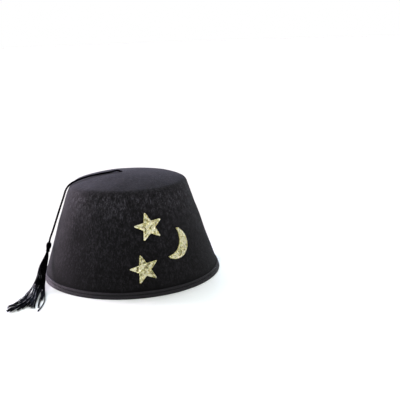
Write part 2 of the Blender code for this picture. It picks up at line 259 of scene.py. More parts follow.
class Pile:
    # gathers closed shapes into one mesh, with a tone for each shape

    def __init__(self):
        self.points, self.faces, self.spots, self.tones = [], [], [], []
        self.count = 0

    def skin(self, rings, start=None, end=None, along=None, tone=0.0, loop=False):
        # Joins rings of points, then closes the ends with fans, or the last ring with the first.
        # along is the distance at each ring: with the share round it makes the UV map.
        many, sides = rings.shape[:2]
        base = self.count
        along = np.arange(many) if along is None else along
        along = np.append(along, 2 * along[-1] - along[-2])
        low = np.arange(many if loop else many - 1)[:, None]
        turn = np.arange(sides)[None, :]
        nextTurn, here, beyond = (turn + 1) % sides, low * sides, (low + 1) % many * sides
        corners = (here + turn, here + nextTurn, beyond + nextTurn, beyond + turn)
        quads = np.stack(corners, -1).reshape(-1, 4) + base
        self.faces.extend(quads.tolist())
        spots = np.zeros((len(low), sides, 4, 2))
        spots[..., 0] = along[low + np.array((0, 0, 1, 1))[None, :]][:, None, :]
        spots[..., 1] = (turn[0][:, None] + np.array((0, 1, 1, 0))[None, :]) / sides
        self.spots.append(spots.reshape(-1, 2))
        points = [rings.reshape(-1, 3)]
        fans = [(start, 0, True, along[0]), (end, many - 1, False, along[many - 1])]
        for centre, ring, backward, place in fans:
            if centre is None:
                continue
            middle = base + many * sides + len(points) - 1
            points.append(np.array(centre)[None, :])
            first = base + ring * sides
            for j in range(sides):
                k = (j + 1) % sides
                pair = (first + k, first + j) if backward else (first + j, first + k)
                self.faces.append((middle, *pair))
            shares = np.repeat(np.arange(sides) / sides, 3)
            self.spots.append(np.stack([np.full(3 * sides, place), shares], 1))
        points = np.concatenate(points)
        self.points.append(points)
        self.tones.append(np.full(len(points), tone))
        self.count += len(points)

    def tube(self, path, radii, sides, tone=0.0):
        ahead, side, over = framesAlong(path)
        radii = np.broadcast_to(np.asarray(radii, float), (len(path),))
        rings = path[:, None, :] + roundAbout(side, over, sides) * radii[:, None, None]
        bulge = 0.35  # of each closed end, as a share of its radius
        start = path[0] - ahead[0] * radii[0] * bulge
        end = path[-1] + ahead[-1] * radii[-1] * bulge
        self.skin(rings, start, end, lengthsAlong(path), tone)

    def make(self, name, finish, smooth=True):
        mesh = bpy.data.meshes.new(name)
        mesh.from_pydata(np.concatenate(self.points).tolist(), [], self.faces)
        layer = mesh.uv_layers.new(name="along")
        layer.data.foreach_set("uv", np.concatenate(self.spots).ravel().astype(np.float32))
        tones = mesh.attributes.new("tone", "FLOAT", "POINT")
        tones.data.foreach_set("value", np.concatenate(self.tones).astype(np.float32))
        mesh.materials.append(finish.material)
        if smooth:
            mesh.shade_smooth()
        piece = bpy.data.objects.new(name, mesh)
        scene.collection.objects.link(piece)
        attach(piece, "root")
        return piece


# The camera

shot = {
    "bearing": math.radians(21.0),  # toward the tassel side from the front
    "distance": 0.780,
    "height": 0.267,
    "aimRight": 0.0776,  # the hat stands left of the picture's middle
    "aimUp": 0.0730,
    "roll": math.radians(-1.885),
    "lens": 66.17,
    "sensor": 36,
}


def facing(right, away, up):
    # a place set out as the camera sees the hat
    sine, cosine = math.sin(shot["bearing"]), math.cos(shot["bearing"])
    return Vector((right * cosine + away * sine, -right * sine + away * cosine, up))


def makeCamera():
    camera = bpy.data.objects.new("camera", bpy.data.cameras.new("camera"))
    scene.collection.objects.link(camera)
    camera.data.sensor_width, camera.data.lens = shot["sensor"], shot["lens"]
    place = facing(0, -shot["distance"], shot["height"])
    aim = facing(shot["aimRight"], 0, shot["aimUp"])
    turn = (aim - place).to_track_quat("-Z", "Y").to_matrix().to_4x4()
    camera.matrix_world = Matrix.Translation(place) @ turn @ Matrix.Rotation(shot["roll"], 4, "Z")
    scene.camera = camera


makeCamera()

# Black rayon of the cord and the tassel

rayon = {
    "dark": (0.0002, 0.0002, 0.0003),
    "light": (0.0014, 0.0014, 0.0017),
    # gleam is the colour of a painted highlight on a few strands
    "gleam": (0.210, 0.208, 0.213),
    "yarnLay": 0.0011,  # along the thread for one turn of its yarns
    "streak": 0.0012,
    "glintLength": 0.006,
    "glintsBelow": (0.009, 0.018),  # heights between which the painted glint fades out
}


def rayonFinish():
    finish = Finish("blackRayon", specularIorLevel=0.006)
    along, around, _ = finish.split(finish.place("UV"))
    yarn = finish.sine(along * (1 / rayon["yarnLay"]) + around)
    tone = finish.node("ShaderNodeAttribute", {"attribute_name": "tone"}, out="Fac")
    place = finish.place()
    streaks = finish.noise(place, rayon["streak"], 3.0, 0.6)
    shade = finish.limits(yarn * 0.35 + streaks * 0.5 + tone * 0.4, 0.35, 0.95)
    # a painted glint on a few thin strands, in broken stretches
    broken = finish.limits(finish.noise(place, rayon["glintLength"], 2.0), 0.42, 0.55)
    low = finish.limits(finish.split(place)[2], *rayon["glintsBelow"], 1.0, 0.0)
    gleam = finish.limits(tone, 0.85, 0.95) * broken * low
    colour = finish.ramp(shade, (0.0, rayon["dark"]), (0.80, rayon["light"]))
    finish.feed(baseColor=finish.mix(gleam, colour, rayon["gleam"]))
    finish.feed(roughness=finish.limits(streaks, 0.25, 0.75, 0.16, 0.34))
    finish.relief(yarn * 0.6 + streaks * 0.4, 0.00012, 0.7)
    return finish


blackRayon = rayonFinish()

# The cord: three plies laid round each other

cord = {
    "diameter": 0.0020,
    "fuzz": 0.00014,  # how far its fibres stand off
    "plies": 3,
    "layLength": 0.0068,  # along the cord for one turn of a ply
    "sides": 10,
    "step": 0.00035,
    "intoKnots": 0.0012,  # how far the cord goes on inside the knot at each end
    "exit": (0.0062, -0.0011, 0.1088),  # where it comes through the top
    "route": (  # out, across toward the front, up
        (-0.0001, -0.0011, 0.10444),  # at the stop knot inside the crown
        (0.0029, -0.0011, 0.10650),  # in the slanted hole
        (0.0076, -0.0011, 0.10975),
        (0.0115, -0.0010, 0.11060),
        (0.0170, -0.0008, 0.10965),
        (0.0244, -0.0006, 0.10880),
        (0.0330, -0.0002, 0.10755),
        (0.0416, 0.0003, 0.10610),
        (0.0503, 0.0008, 0.10380),
        (0.0569, 0.0013, 0.10145),
        (0.0622, 0.0020, 0.09840),  # over the edge
        (0.0658, 0.0029, 0.09430),
        (0.0683, 0.0040, 0.08850),
        (0.0725, 0.0057, 0.07780),
        (0.0783, 0.0090, 0.06280),
        (0.0842, 0.0125, 0.04780),
        (0.0861, 0.0137, 0.04310),
        (0.0869, 0.0144, 0.04010),  # at the tassel's head
    ),
}
cordLine = smoothLine([beside(*place) for place in cord["route"]], cord["step"])
cordStart, cordEnd = unit(cordLine[0] - cordLine[1]), unit(cordLine[-1] - cordLine[-2])


def layCord(pile, line, diameter, tone=0.5):
    # plies that touch along the middle and reach out to the diameter
    ply = diameter / 2 / (1 + 2 / math.sqrt(3))
    off = ply * 2 / math.sqrt(3)
    _, side, over = framesAlong(line)
    for k in range(cord["plies"]):
        turn = 2 * math.pi * (lengthsAlong(line) / cord["layLength"] + k / cord["plies"])
        path = line + off * (np.cos(turn)[:, None] * side + np.sin(turn)[:, None] * over)
        pile.tube(path, ply, cord["sides"], tone + 0.1 * k)


def makeCord():
    first = cordLine[0] + cordStart * cord["intoKnots"]
    last = cordLine[-1] + cordEnd * cord["intoKnots"]
    line = np.concatenate([[first], cordLine, [last]])
    line = smoothLine([*line[::6], last], cord["step"])
    pile = Pile()
    layCord(pile, line, cord["diameter"] + 2 * cord["fuzz"])
    piece = pile.make("twistedCord", blackRayon)
    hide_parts("cord")
    return piece, line


twistedCord, cordPath = makeCord()

# The stop knot, a plain knot of the same cord inside the crown

stopKnot = {
    "size": 0.00060,
    "height": 1.25,  # of its loops, as a share of the size
    "thread": 0.00078,
    "steps": 96,
    "sides": 12,
    "beyond": 0.0021,  # from the cord's end to its middle
}


def makeStopKnot():
    # the loops of a plain overhand knot
    t = np.linspace(0, 2 * math.pi, stopKnot["steps"], endpoint=False)
    reach = 2 + np.cos(3 * t)
    rise = stopKnot["height"] * np.sin(3 * t)
    loops = np.stack([reach * np.cos(2 * t), reach * np.sin(2 * t), rise], 1)
    turn = np.array(Vector(cordStart).to_track_quat("Z", "Y").to_matrix())
    middle = cordLine[0] + cordStart * stopKnot["beyond"]
    path = middle + loops * stopKnot["size"] @ turn.T
    # the path is a closed loop, so its frames are taken from the knot's middle
    ahead = unit(np.roll(path, -1, 0) - np.roll(path, 1, 0))
    side = unit(np.cross(ahead, path - middle))
    rim = roundAbout(side, np.cross(ahead, side), stopKnot["sides"])
    along = np.arange(len(t)) * cord["step"]
    pile = Pile()
    pile.skin(path[:, None, :] + rim * stopKnot["thread"], along=along, tone=0.5, loop=True)
    piece = pile.make("stopKnot", blackRayon)
    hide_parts("cord_stop_knot")
    return piece


knot = makeStopKnot()

# The tassel's head, bound with thread

head = {
    "profile": (  # distance along from the cord's end, radius
        (0.0, 0.0012), (0.0006, 0.0020), (0.0022, 0.0027), (0.0048, 0.0028),
        (0.0068, 0.0022), (0.0080, 0.0019), (0.0096, 0.0022), (0.0108, 0.0018),
    ),
    "coreRings": 28,
    "coreSides": 20,
    "thread": 0.00020,
    "sunk": 0.7,  # share of the thread's radius that is sunk in the core
    "pitch": 0.00042,
    "sides": 6,
    "stepsRound": 22,
}
headUnit = cordEnd
headStart = cordLine[-1] + headUnit * hat["gap"]
headEnd = headStart + headUnit * head["profile"][-1][0]


def makeHead():
    places, radii = (np.array(column) for column in zip(*head["profile"]))
    side = unit(np.cross(headUnit, (0.0, 0.0, 1.0)))
    over = np.cross(headUnit, side)
    pile = Pile()
    # the core under the thread
    along = np.linspace(0, places[-1], head["coreRings"])
    core = np.interp(along, places, radii) - head["thread"]
    middles = headStart + along[:, None] * headUnit
    rings = middles[:, None, :] + core[:, None, None] * roundAbout(side, over, head["coreSides"])
    pile.skin(rings, middles[0], middles[-1], along, 0.3)
    # the thread, wound from end to end
    wound = places[-1] - 2 * head["thread"]
    count = int(wound / head["pitch"] * head["stepsRound"])
    along = head["thread"] + np.linspace(0, wound, count)
    turn = 2 * math.pi * np.arange(count) / head["stepsRound"]
    reach = np.interp(along, places, radii) - head["thread"] * head["sunk"]
    path = headStart + along[:, None] * headUnit
    path += reach[:, None] * (np.cos(turn)[:, None] * side + np.sin(turn)[:, None] * over)
    pile.tube(path, head["thread"], head["sides"], 0.6)
    piece = pile.make("tasselHead", blackRayon)
    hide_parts("tassel")
    return piece


tasselHead = makeHead()

# The tassel's skirt, in locks of strands

skirt = {
    "falls": (  # middle out, across and up, half width, half thickness
        (0.0908, 0.0210, 0.0251, 0.0019, 0.0013),
        (0.0933, 0.0273, 0.0192, 0.0032, 0.0019),
        (0.0947, 0.0354, 0.0142, 0.0036, 0.0022),
        (0.0953, 0.0440, 0.0096, 0.0042, 0.0022),
        (0.0965, 0.0515, 0.0055, 0.0056, 0.0016),
    ),
    # Each lock: place across the skirt and through it in halves, where it lies on the floor
    # first, halfway and last, height over the floor, thickest radius, strands and thin strays
    "locks": (
        (0.8, 0.6, (0.1054, 0.0570), (0.1090, 0.0745), (0.1170, 0.0885), 0.0004, 0.0008, 1, 8),
        (1.0, 0.2, (0.1056, 0.0600), (0.1096, 0.0835), (0.1243, 0.0985), 0.0, 0.0009, 5, 3),
        (0.72, -0.5, (0.1020, 0.0630), (0.1077, 0.0890), (0.1229, 0.1085), 0.0, 0.0013, 7, 3),
        (0.60, 0.7, (0.1014, 0.0640), (0.1060, 0.0869), (0.1186, 0.1105), 0.0012, 0.0011, 5, 2),
        (0.4, -0.2, (0.1010, 0.0640), (0.1043, 0.0875), (0.1125, 0.1072), 0.0, 0.0012, 5, 1),
        (0.25, 0.8, (0.1002, 0.0650), (0.1028, 0.0874), (0.1080, 0.1030), 0.0010, 0.0011, 4, 2),
        (0.1, -0.8, (0.0990, 0.0650), (0.1014, 0.0850), (0.1043, 0.1002), 0.0, 0.0012, 5, 0),
        (-0.1, 0.4, (0.0980, 0.0650), (0.0996, 0.0854), (0.1012, 0.1015), 0.0008, 0.0011, 4, 2),
        (-0.3, -0.3, (0.0972, 0.0650), (0.0990, 0.0830), (0.0986, 0.1048), 0.0, 0.0010, 4, 1),
        (-0.55, 0.6, (0.0953, 0.0670), (0.0969, 0.0830), (0.0964, 0.1048), 0.0008, 0.0009, 4, 1),
        (-0.7, 0.3, (0.0940, 0.0590), (0.0936, 0.0640), (0.0933, 0.0690), 0.0006, 0.0010, 5, 0),
        (-0.8, 0.0, (0.0919, 0.0690), (0.0933, 0.0860), (0.0922, 0.1042), 0.0, 0.0009, 5, 0),
        (-1.0, 0.6, (0.0914, 0.0606), (0.0914, 0.0719), (0.0915, 0.0842), 0.0004, 0.0009, 4, 0),
        (0.90, 0.4, (0.1054, 0.0600), (0.1096, 0.0800), (0.1228, 0.0938), 0.0006, 0.0008, 3, 2),
        (-1.0, -0.4, (0.0896, 0.0681), (0.0889, 0.0861), (0.0922, 0.1134), 0.0, 0.0005, 1, 0),
    ),
    "rise": 0.0008,  # how much higher a lock is where it first lies down
    # Shares of the way from the head to the tip, and the girths or the wander there
    "lockGirth": ((0, 0.12, 0.32, 0.8, 1), (0.45, 0.6, 1.0, 1.0, 0.95)),
    "strandGirth": ((0, 0.1, 0.3, 0.5, 1), (0.5, 0.62, 0.8, 1, 1)),
    "mattedGirth": ((0, 0.93, 1), (1.45, 1.45, 2.3)),  # of a lock of one strand
    "looseness": ((0, 0.2, 0.6, 1), (0, 0.3, 0.8, 1.5)),
    "straying": ((0, 0.4, 0.7, 1), (0, 0.4, 0.9, 1.3)),
    "strand": 0.00038,  # radius of a strand where it is free
    "tipGirth": 0.85,
    "step": 0.0011,
    "sides": 7,
    "spin": 1.6,  # how far the strands of a lock turn round it, either way, in radians
    "wander": 0.00045,
    "waves": (0.7, 3.2),  # how many waves a strand makes as it wanders
    "raggedness": 0.035,  # share of its length by which a strand may be short
    "mattedRaggedness": 0.01,
    "stray": (0.00026, 0.00020),  # radius of a thin strand from the head to its tip
    "strayOut": 0.0005,  # how much further than the lock's radius it may stray
    "strayLength": (0.85, 0.99),
    "strayTone": 0.3,
    "glintingEach": 4,  # one stray in so many is thicker and carries the painted glint
    "glintingGirth": 1.45,
    "glintingTone": 1.0,
    "hair": (0.00012, 0.00005),  # radius of the split end of a strand
    "hairLength": (0.0005, 0.0014),
    "hairFloor": 0.0002,
}


def lockPath(across, through, first, halfway, last, over, radius):
    # from inside the head, down in the skirt and along the floor to the tip
    points = [headEnd - headUnit * 0.004]
    before = headEnd
    for *place, halfWidth, halfThickness in skirt["falls"]:
        middle = beside(*place)
        ahead = unit(middle - before)
        side = unit(np.cross(ahead, (0.0, 0.0, 1.0)))
        overIt = np.cross(side, ahead)
        points.append(middle + side * across * halfWidth + overIt * through * halfThickness)
        before = middle
    rest = radius + hat["gap"]
    points.append(beside(*first, rest + over + skirt["rise"]))
    points.append(beside(*halfway, rest + over))
    points.append(beside(*last, rest))
    return smoothLine(points, skirt["step"])


def waves(dice, part):
    # a smooth wander between -1 and 1
    turns = [dice.uniform(*skirt["waves"]) * part + dice.random() for _ in range(3)]
    return sum(np.sin(2 * math.pi * turn) for turn in turns) / len(turns)


def makeSkirt():
    dice = np.random.default_rng(11)
    pile = Pile()
    for *row, strands, strays in skirt["locks"]:
        path = lockPath(*row)
        radius = row[-1]
        part = np.linspace(0, 1, len(path))
        lock = np.interp(part, *skirt["lockGirth"]) * radius
        thread = np.interp(part, *skirt["strandGirth"]) * skirt["strand"]
        _, side, under = framesAlong(path)
        spin = dice.uniform(-skirt["spin"], skirt["spin"])
        for k in range(strands):
            ring = 0.0 if k == 0 else 1.0
            turn = 2 * math.pi * k / max(1, strands - 1) + dice.uniform(-0.3, 0.3) + spin * part
            reach = np.maximum(lock - thread, 0) * ring
            loose = skirt["wander"] * np.interp(part, *skirt["looseness"])
            sideways = reach * np.cos(turn) + loose * waves(dice, part)
            upward = reach * np.sin(turn) + 0.6 * loose * waves(dice, part)
            line = path + sideways[:, None] * side - upward[:, None] * under
            ragged = skirt["raggedness" if strands > 1 else "mattedRaggedness"]
            end = round(len(line) * (1 - dice.uniform(0, ragged)))
            line, girth = line[:end], thread[:end].copy()
            if strands == 1:
                girth *= np.interp(part[:end], *skirt["mattedGirth"])
            line[:, 2] = np.maximum(line[:, 2], girth + hat["gap"])
            girth[-1] *= skirt["tipGirth"]
            tone = dice.uniform(0, 0.7)
            pile.tube(line, girth, skirt["sides"], tone)
            splitEnd(pile, dice, line, tone)
        for k in range(strays):
            # thin strands that lie over the lock and stray from it toward their ends
            astray = np.interp(part, *skirt["straying"]) * (radius + skirt["strayOut"])
            sideways = astray * waves(dice, part) * 1.5
            upward = lock * 0.9 + 0.5 * astray * waves(dice, part)
            line = path + sideways[:, None] * side - upward[:, None] * under
            line = line[: round(len(line) * dice.uniform(*skirt["strayLength"]))]
            girth, tone = np.linspace(*skirt["stray"], len(line)), skirt["strayTone"]
            # this stray's tone turns on the painted glint of blackRayon
            if k % skirt["glintingEach"] == 1:
                girth, tone = girth * skirt["glintingGirth"], skirt["glintingTone"]
            line[:, 2] = np.maximum(line[:, 2], girth + hat["gap"])
            pile.tube(line, girth, 5, tone)
    piece = pile.make("tasselSkirt", blackRayon)
    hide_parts("tassel")
    return piece


def splitEnd(pile, dice, line, tone):
    # a yarn of the strand stands off at its cut end
    stray = unit(line[-1] - line[-4]) + dice.normal(0, 0.35, 3) * (1, 1, 0.25)
    length = dice.uniform(*skirt["hairLength"])
    share = np.linspace(0, 1, 6)[:, None]
    bend = dice.normal(0, 0.0006, 3) * (1, 1, 0.2)
    hair = line[-2] + share * unit(stray) * length + share**2 * bend
    hair[:, 2] = np.maximum(hair[:, 2], skirt["hairFloor"])
    pile.tube(hair, np.linspace(*skirt["hair"], 6), 4, tone)


tasselSkirt = makeSkirt()
print("tassel laid:", len(tasselSkirt.data.polygons), "faces")

# The felt crown

crown = {
    "segments": 288,
    "outside": (58, 12, 44),  # rings up the wall, round the edge, over the top
    "inside": (40, 8, 24),
    "hollows": (  # out, across, up, depth, reach over the edge and round the hat
        (0.0560, -0.0100, 0.1010, 0.0010, 0.022, 0.045),
        (0.0585, 0.0016, 0.1008, 0.0012, 0.009, 0.015),
        (0.0320, -0.0450, 0.1050, 0.0005, 0.015, 0.022),
    ),
    "swells": 18,  # long low waves that cross each other in the felt
    "swellLength": (0.022, 0.080),
    "unevenness": 0.00022,
    "evenUpTo": 0.009,  # the tape keeps the felt even near the lower edge
    "holeRadius": 0.00135,
    "holeLength": 0.0135,
}


def edgeMiddle():
    # the middle of the rounded edge, as distance from the axis and height
    sine, cosine = math.sin(hat["slant"]), math.cos(hat["slant"])
    radius, height = wallFoot - cosine * hat["edgeRound"], -sine * hat["edgeRound"]
    alongWall = -radius * sine + (height - domeMiddle) * cosine
    reach = (hat["domeRadius"] - hat["edgeRound"]) ** 2 - radius**2 - (height - domeMiddle) ** 2
    up = -alongWall + math.sqrt(alongWall**2 + reach)
    return radius - sine * up, height + cosine * up


def crownProfile(depth, wallSteps, edgeSteps, domeSteps):
    # radius and height from the lower edge to just short of the middle of the top
    radius, height = edgeMiddle()
    domeTurn = math.atan2(height - domeMiddle, radius)
    turns = np.linspace(hat["slant"], domeTurn, edgeSteps)
    edge = hat["edgeRound"] - depth
    arc = np.stack([radius + edge * np.cos(turns), height + edge * np.sin(turns)], 1)
    heights = np.linspace(feltBottom, arc[0, 1], wallSteps, endpoint=False)
    wall = np.stack([wallAt(heights, depth), heights], 1)
    turns = np.linspace(domeTurn, math.pi / 2, domeSteps + 1)[1:-1]
    dome = hat["domeRadius"] - depth
    top = np.stack([dome * np.cos(turns), domeMiddle + dome * np.sin(turns)], 1)
    return np.concatenate([wall, arc, top])


def giveWay(points):
    # the felt sags on the tassel side, is dented by the cord, and is nowhere quite even
    side = beside(0, 1, 0)
    inward = unit(beside(-0.55, 0, -0.83))
    moved = np.zeros(len(points))
    for out, across, up, depth, overEdge, roundHat in crown["hollows"]:
        away = points - beside(out, across, up)
        sideways = away @ side
        alongEdge = np.linalg.norm(away - sideways[:, None] * side, axis=1)
        moved += depth * np.exp(-((alongEdge / overEdge) ** 2) - (sideways / roundHat) ** 2)
    dice = np.random.default_rng(5)
    swell = np.zeros(len(points))
    for _ in range(crown["swells"]):
        direction = unit(dice.normal(size=3)) * 2 * math.pi / dice.uniform(*crown["swellLength"])
        swell += np.sin(points @ direction + dice.uniform(0, 2 * math.pi))
    free = np.clip((points[:, 2] - crown["evenUpTo"]) / 0.02, 0, 1)
    swell *= crown["unevenness"] / math.sqrt(crown["swells"] / 2) * free
    outward = unit(points * (1, 1, 0) + (0, 0, 0.03))
    return points + moved[:, None] * inward + swell[:, None] * outward


def spun(profile, segments):
    turns = np.linspace(0, 2 * math.pi, segments, endpoint=False)
    radius, height = profile[:, 0][:, None], profile[:, 1][:, None]
    return np.stack([radius * np.cos(turns), radius * np.sin(turns), height + 0 * turns], -1)


def boreHole(piece):
    # cuts the slanted hole of the cord
    start, ahead = cordLine[0], -cordStart
    reach = np.linspace(0, crown["holeLength"], 4)[:, None]
    pile = Pile()
    pile.tube(start + reach * ahead, crown["holeRadius"], 20)
    cutter = pile.make("holeCutter", blackRayon)
    cut = piece.modifiers.new("hole", "BOOLEAN")
    cut.operation, cut.object, cut.solver = "DIFFERENCE", cutter, "EXACT"
    bpy.context.view_layer.update()
    holed = piece.evaluated_get(bpy.context.evaluated_depsgraph_get())
    mesh = bpy.data.meshes.new_from_object(holed)
    piece.modifiers.clear()
    piece.data = mesh
    bpy.data.objects.remove(cutter)


felt = {
    "deep": (0.0007, 0.0007, 0.0007),
    "middle": (0.0048, 0.0046, 0.0050),
    "pale": (0.0230, 0.0218, 0.0245),
    "fibre": 0.0011,
    "clump": 0.0030,
    "cloud": 0.030,
    "stops": (0.42, 0.50, 0.588),  # tones that are deep, middle and pale
    "relief": 0.0007,
    "top": 0.11,  # height that the ramp of painted light and shade reaches
    "rubbed": (  # how much paler it is at each height: painted light under the upper edge, painted shade just above the tape, and darker toward the bottom
        (0.0062, 0.35), (0.0078, 0.35), (0.0100, 0.66), (0.055, 0.84),
        (0.074, 1.25), (0.091, 2.5), (0.097, 1.8), (0.102, 1.0),
    ),
}


def feltFinish():
    finish = Finish("blackFelt", specularIorLevel=0.05, sheenWeight=0.042, sheenRoughness=0.70)
    place = finish.place()
    upright = finish.product(place, (1.0, 1.0, 0.6))
    streaked = finish.product(place, (1.0, 1.0, 0.2))
    fibres = finish.noise(upright, felt["fibre"], 5.0, 0.68, 1.0)
    crossed = finish.noise(streaked, felt["fibre"] * 0.9, 3.0, 0.6, 0.5)
    clumps = finish.noise(upright, felt["clump"], 3.0, 0.55, 0.6)
    clouds = finish.noise(place, felt["cloud"], 2.0)
    tone = fibres * 0.35 + crossed * 0.27 + clumps * 0.28 + clouds * 0.10
    colour = finish.ramp(tone, *zip(felt["stops"], (felt["deep"], felt["middle"], felt["pale"])))
    # painted light and shade by height: the felt is painted paler under the upper edge and darker
    # just above the tape
    height = finish.split(place)[2]
    most = max(share for _, share in felt["rubbed"])
    stops = [(up / felt["top"], (share / most,) * 3) for up, share in felt["rubbed"]]
    rubbed = finish.ramp(height * (1 / felt["top"]), *stops)
    inputs = {0: finish.product(colour, rubbed), "Scale": most}
    colour = finish.node("ShaderNodeVectorMath", {"operation": "SCALE"}, inputs)
    finish.feed(baseColor=colour)
    finish.feed(roughness=finish.limits(clumps, 0.3, 0.7, 0.88, 1.0))
    finish.relief(fibres * 0.5 + crossed * 0.3 + clumps * 0.25, felt["relief"], 0.75)
    return finish


blackFelt = feltFinish()


def makeCrown():
    pile = Pile()
    inner = crownProfile(hat["felt"], *crown["inside"])[::-1]
    outer = crownProfile(0.0, *crown["outside"])
    profile = np.concatenate([inner, outer])
    rings = spun(profile, crown["segments"])
    top = domeMiddle + hat["domeRadius"]
    ends = np.array(((0, 0, top - hat["felt"]), (0, 0, top)))
    shaped = giveWay(np.concatenate([rings.reshape(-1, 3), ends]))
    rings, ends = shaped[:-2].reshape(rings.shape), shaped[-2:]
    pile.skin(rings, ends[0], ends[1])
    piece = pile.make("feltCrown", blackFelt)
    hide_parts("felt_body")
    boreHole(piece)
    return piece


feltCrown = makeCrown()
print("crown moulded:", len(feltCrown.data.polygons), "faces")

# The binding: a woven tape folded over the edge and stitched through

binding = {
    "height": 0.0061,
    "seam": 0.0038,  # height of the stitching
    "groove": 0.00045,
    "grooveWidth": 0.00062,
    "puff": 0.00027,  # how far the tape swells above and below the seam
    "rows": (1.0, 0.93, 0.80, 0.68, 0.60, 0.55, 0.50, 0.45, 0.40, 0.31, 0.20, 0.10),
    "underside": ((0.0004, 0.0), (0.0001, 0.00012), (0.0, 0.00045)),  # height, how far drawn in
    "lip": (0.0003, 0.00018),  # half the width and the height of its rounded top
    "waviness": 0.00015,
    "stitches": 236,
    "pointsPerStitch": 4,
    "thread": 0.00017,
    "stitchGirth": (0.6, 0.9, 1, 1, 1, 0.9, 0.6),
    "stitchSpan": 0.43,  # half of it, as a share of the pitch
    "stitchRise": 0.00022,  # of its middle over its ends
    "stitchSunk": 0.00016,  # how deep its ends lie
    "stitchClear": 0.00012,  # how much the whole row stands off the groove
    "stitchLean": 0.00010,
    "join": math.radians(90.0),  # turn from +X where the tape's ends overlap, at the back
    "lap": 0.035,  # half the overlap, in radians
    "lapHeight": 0.00035,
}
bindingTape = {
    "deep": (0.0018, 0.0018, 0.0022),
    "dark": (0.0088, 0.0084, 0.0094),
    "light": (0.031, 0.030, 0.034),
    "rib": 0.00042,
    "pick": 0.00030,
    "wear": 0.006,
    "lint": 0.0008,
    "seamShadow": (0.0002, 0.0011),  # distances from the seam between which it fades out
    "foldShadow": (0.0003, 0.0013),  # the same over the floor
}


def tapeFinish():
    finish = Finish("bindingTape", specularIorLevel=0.20, sheenWeight=0.045, sheenRoughness=0.6)
    turning, across, _ = finish.split(finish.place("UV"))
    ribs = finish.sine((turning + across * 0.9) * (1 / bindingTape["rib"]))
    picks = finish.sine((across - turning * 0.2) * (1 / bindingTape["pick"]))
    wear = finish.noise(finish.place(), bindingTape["wear"], 3.0)
    lint = finish.noise(finish.place(), bindingTape["lint"], 4.0, 0.7)
    tone = ribs * 0.25 + picks * 0.12 + wear * 0.5 + lint * 0.3
    stops = ((0.38, bindingTape["dark"]), (0.82, bindingTape["light"]))
    # shadow lies in the seam with its black thread, and along the fold underneath
    height = finish.split(finish.place())[2]
    offSeam = height - binding["seam"]
    offSeam = finish.node("ShaderNodeMath", {"operation": "ABSOLUTE"}, {0: offSeam})
    seam = finish.limits(offSeam, *bindingTape["seamShadow"], 1.0, 0.0)
    fold = finish.limits(height, *bindingTape["foldShadow"], 1.0, 0.0)
    shadow = 1 - (1 - seam * 0.80) * (1 - fold * 0.75)
    finish.feed(baseColor=finish.mix(shadow, finish.ramp(tone, *stops), bindingTape["deep"]))
    finish.feed(roughness=finish.limits(wear, 0.3, 0.7, 0.62, 0.80))
    finish.relief(ribs * 0.7 + picks * 0.3 + lint * 0.3, 0.00016, 0.8)
    return finish


def makeBinding():
    outside, inside = -(hat["gap"] + hat["tape"]), hat["felt"] + hat["gap"] + hat["tape"]
    top, seam = binding["height"], binding["seam"]
    rounds = binding["stitches"] * binding["pointsPerStitch"]
    turns = np.linspace(0, 2 * math.pi, rounds, endpoint=False)
    pucker = 0.5 - 0.5 * np.cos(turns * binding["stitches"])
    wave = 0.6 * np.sin(turns * 7 + 1.0) + 0.4 * np.sin(turns * 17 + 2.2)
    fromJoin = (turns - binding["join"] + math.pi) % (2 * math.pi) - math.pi
    lapped = np.clip((fromJoin + binding["lap"]) / 0.004, 0, 1)
    lapped = lapped * np.clip((binding["lap"] - fromJoin) / 0.03, 0, 1)
    lip = top + binding["waviness"] * wave
    rows = []

    def swell(height):
        # how far the tape stands off at this height, for each turn
        dip = math.exp(-(((height - seam) / binding["grooveWidth"]) ** 2))
        lobes = math.sin(2 * math.pi * height / top)
        pulled = binding["groove"] * dip * (0.75 + 0.25 * pucker)
        return binding["puff"] * abs(lobes) - pulled + binding["lapHeight"] * lapped

    def addRow(depth, height, out=0.0, rise=0.0):
        # a row of points round the rim
        height = height + 0.0 * turns
        rows.append((wallAt(height, depth) + out, height + rise))

    heights = np.array(binding["rows"]) * top
    for height in heights:
        addRow(outside, height + (lip - top) * height / top, swell(height))
    for height, drawnIn in binding["underside"]:
        addRow(outside, height, -drawnIn)
    for height, drawnIn in binding["underside"][::-1]:
        addRow(inside, height, drawnIn)
    for height in heights[::-1]:
        addRow(inside, height + (lip - top) * height / top, -swell(height))
    # over the lip, down the channel that holds the felt, and up again
    back, front = hat["felt"] + hat["gap"], -hat["gap"]
    halfLip, lipRise = binding["lip"]
    addRow(back + halfLip, lip, rise=lipRise)
    for depth, height in ((back, lip), (back, hat["tape"]), (front, hat["tape"]), (front, lip)):
        addRow(depth, height)
    addRow(front - halfLip, lip, rise=lipRise)
    radius, height = (np.array(column) for column in zip(*rows))
    rings = np.stack([radius * np.cos(turns), radius * np.sin(turns), height], -1)
    rings = rings.transpose(1, 0, 2)  # one ring is a section of the tape
    pile = Pile()
    section = np.linalg.norm(np.diff(rings[0], axis=0), axis=1).sum()
    pile.skin(rings, along=turns * wallFoot, loop=True)
    pile.spots = [spots * (1, section) for spots in pile.spots]
    piece = pile.make("rimBinding", tapeFinish())
    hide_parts("rim_binding")
    return piece


